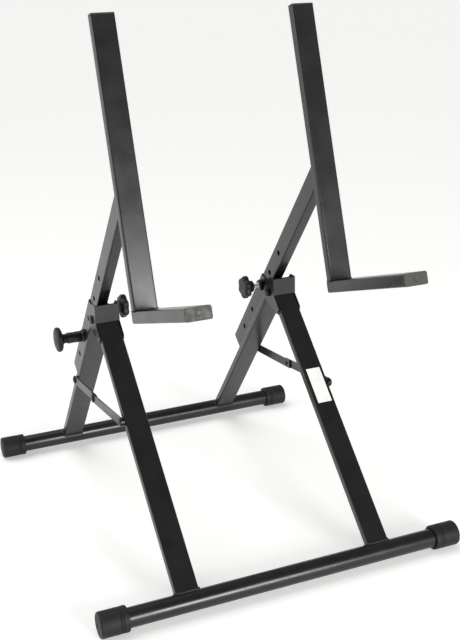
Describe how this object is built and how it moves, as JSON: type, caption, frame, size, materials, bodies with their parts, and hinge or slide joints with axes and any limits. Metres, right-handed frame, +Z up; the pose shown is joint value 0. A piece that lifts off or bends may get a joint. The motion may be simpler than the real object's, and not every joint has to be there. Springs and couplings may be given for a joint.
{
  "type": "folding tilt-back amplifier stand",
  "caption": "Folding A-frame floor stand with sliding height posts, leaning backrest uprights and short support arms that hold an instrument amplifier tilted back.",
  "frame": {"origin": "on the floor, under the middle of the stand's bounding box", "axes": "+Z up, -Y to the front (the way the support arms point), +X to the right seen from the front-facing viewer's side"},
  "size_m": [0.645, 0.7862, 0.9048],
  "materials": {
    "powder_coat": "satin black powder coat",
    "rubber": "moulded black rubber",
    "plug_plastic": "moulded grey-black polyethylene",
    "knob_plastic": "moulded black nylon",
    "zinc_steel": "bright zinc plate",
    "label_film": "plain white film"
  },
  "bodies": {
    "rear_frame": {"rear_base_tube": "powder_coat", "rear_cap_l": "rubber", "rear_cap_r": "rubber", "rear_leg_l": "powder_coat", "height_sleeve_l": "powder_coat", "pin_housing_l": "powder_coat", "clamp_boss_l": "powder_coat", "hinge_tube_l": "powder_coat", "stay_rear_rivet_l": "zinc_steel", "rear_leg_r": "powder_coat", "height_sleeve_r": "powder_coat", "pin_housing_r": "powder_coat", "clamp_boss_r": "powder_coat", "hinge_tube_r": "powder_coat", "stay_rear_rivet_r": "zinc_steel"},
    "front_frame": {"front_base_tube": "powder_coat", "front_cap_l": "rubber", "front_cap_r": "rubber", "front_leg_l": "powder_coat", "hinge_bracket_l": "powder_coat", "hinge_bolt_l": "zinc_steel", "hinge_nut_l": "zinc_steel", "stay_front_bolt_l": "zinc_steel", "front_leg_r": "powder_coat", "hinge_bracket_r": "powder_coat", "hinge_bolt_r": "zinc_steel", "hinge_nut_r": "zinc_steel", "stay_front_bolt_r": "zinc_steel", "label": "label_film"},
    "backrest_l": {"height_post_l": "powder_coat", "post_end_plug_l": "plug_plastic", "backrest_upright_l": "powder_coat", "support_arm_l": "powder_coat", "backrest_plug_l": "plug_plastic", "arm_front_plug_l": "plug_plastic", "arm_rear_plug_l": "plug_plastic"},
    "selector_l": {"selector_knob_l": "knob_plastic", "selector_pin_l": "zinc_steel", "selector_spring_l": "zinc_steel"},
    "clamp_screw_l": {"clamp_screw_l": "zinc_steel"},
    "clamp_knob_l": {"clamp_knob_l": "knob_plastic"},
    "stay_rear_l": {"stay_rear_link_l": "powder_coat"},
    "stay_front_l": {"stay_front_link_l": "powder_coat", "stay_mid_rivet_l": "zinc_steel"},
    "backrest_r": {"height_post_r": "powder_coat", "post_end_plug_r": "plug_plastic", "backrest_upright_r": "powder_coat", "support_arm_r": "powder_coat", "backrest_plug_r": "plug_plastic", "arm_front_plug_r": "plug_plastic", "arm_rear_plug_r": "plug_plastic"},
    "selector_r": {"selector_knob_r": "knob_plastic", "selector_pin_r": "zinc_steel", "selector_spring_r": "zinc_steel"},
    "clamp_screw_r": {"clamp_screw_r": "zinc_steel"},
    "clamp_knob_r": {"clamp_knob_r": "knob_plastic"},
    "stay_rear_r": {"stay_rear_link_r": "powder_coat"},
    "stay_front_r": {"stay_front_link_r": "powder_coat", "stay_mid_rivet_r": "zinc_steel"}
  },
  "joints": [
    {"name": "leg_fold", "type": "hinge", "parent": "rear_frame", "child": "front_frame", "pos_m": [0, 0.07547, 0.375], "axis": [1, 0, 0], "range_deg": [0, 76]},
    {"name": "post_slide_l", "type": "slide", "parent": "rear_frame", "child": "backrest_l", "axis": [0, -0.6293, 0.7771], "range_m": [-0.124, 0.062]},
    {"name": "selector_pull_l", "type": "slide", "parent": "rear_frame", "child": "selector_l", "axis": [-1, 0, 0], "range_m": [0, 0.01], "stiffness_N_per_m": 600, "springref_m": -0.012, "deforming": ["selector_spring_l"]},
    {"name": "clamp_advance_l", "type": "slide", "parent": "rear_frame", "child": "clamp_screw_l", "axis": [1, 0, 0], "range_m": [0, 0.0045]},
    {"name": "clamp_turn_l", "type": "hinge", "parent": "clamp_screw_l", "child": "clamp_knob_l", "pos_m": [-0.123, 0.11976, 0.37643], "axis": [1, 0, 0], "range_deg": [0, 1080]},
    {"name": "stay_rear_turn_l", "type": "hinge", "parent": "rear_frame", "child": "stay_rear_l", "pos_m": [-0.1952, 0.22229, 0.20596], "axis": [1, 0, 0], "range_deg": [0, 134.5]},
    {"name": "stay_front_turn_l", "type": "hinge", "parent": "front_frame", "child": "stay_front_l", "pos_m": [-0.198, -0.07765, 0.2403], "axis": [1, 0, 0], "range_deg": [-103.2, 0]},
    {"name": "post_slide_r", "type": "slide", "parent": "rear_frame", "child": "backrest_r", "axis": [0, -0.6293, 0.7771], "range_m": [-0.124, 0.062]},
    {"name": "selector_pull_r", "type": "slide", "parent": "rear_frame", "child": "selector_r", "axis": [1, 0, 0], "range_m": [0, 0.01], "stiffness_N_per_m": 600, "springref_m": -0.012, "deforming": ["selector_spring_r"]},
    {"name": "clamp_advance_r", "type": "slide", "parent": "rear_frame", "child": "clamp_screw_r", "axis": [-1, 0, 0], "range_m": [0, 0.0045]},
    {"name": "clamp_turn_r", "type": "hinge", "parent": "clamp_screw_r", "child": "clamp_knob_r", "pos_m": [0.123, 0.11976, 0.37643], "axis": [-1, 0, 0], "range_deg": [0, 1080]},
    {"name": "stay_rear_turn_r", "type": "hinge", "parent": "rear_frame", "child": "stay_rear_r", "pos_m": [0.1952, 0.22229, 0.20596], "axis": [1, 0, 0], "range_deg": [0, 134.5]},
    {"name": "stay_front_turn_r", "type": "hinge", "parent": "front_frame", "child": "stay_front_r", "pos_m": [0.198, -0.07765, 0.2403], "axis": [1, 0, 0], "range_deg": [-103.2, 0]}
  ],
  "couplings": [
    {"joint": "clamp_turn_l", "follows": "clamp_advance_l", "rad_per_m": 4188.8},
    {"joint": "stay_rear_turn_l", "follows": "leg_fold", "ratio": 1.7678},
    {"joint": "stay_front_turn_l", "follows": "leg_fold", "ratio": -1.356},
    {"joint": "clamp_turn_r", "follows": "clamp_advance_r", "rad_per_m": 4188.8},
    {"joint": "stay_rear_turn_r", "follows": "leg_fold", "ratio": 1.7678},
    {"joint": "stay_front_turn_r", "follows": "leg_fold", "ratio": -1.356}
  ]
}
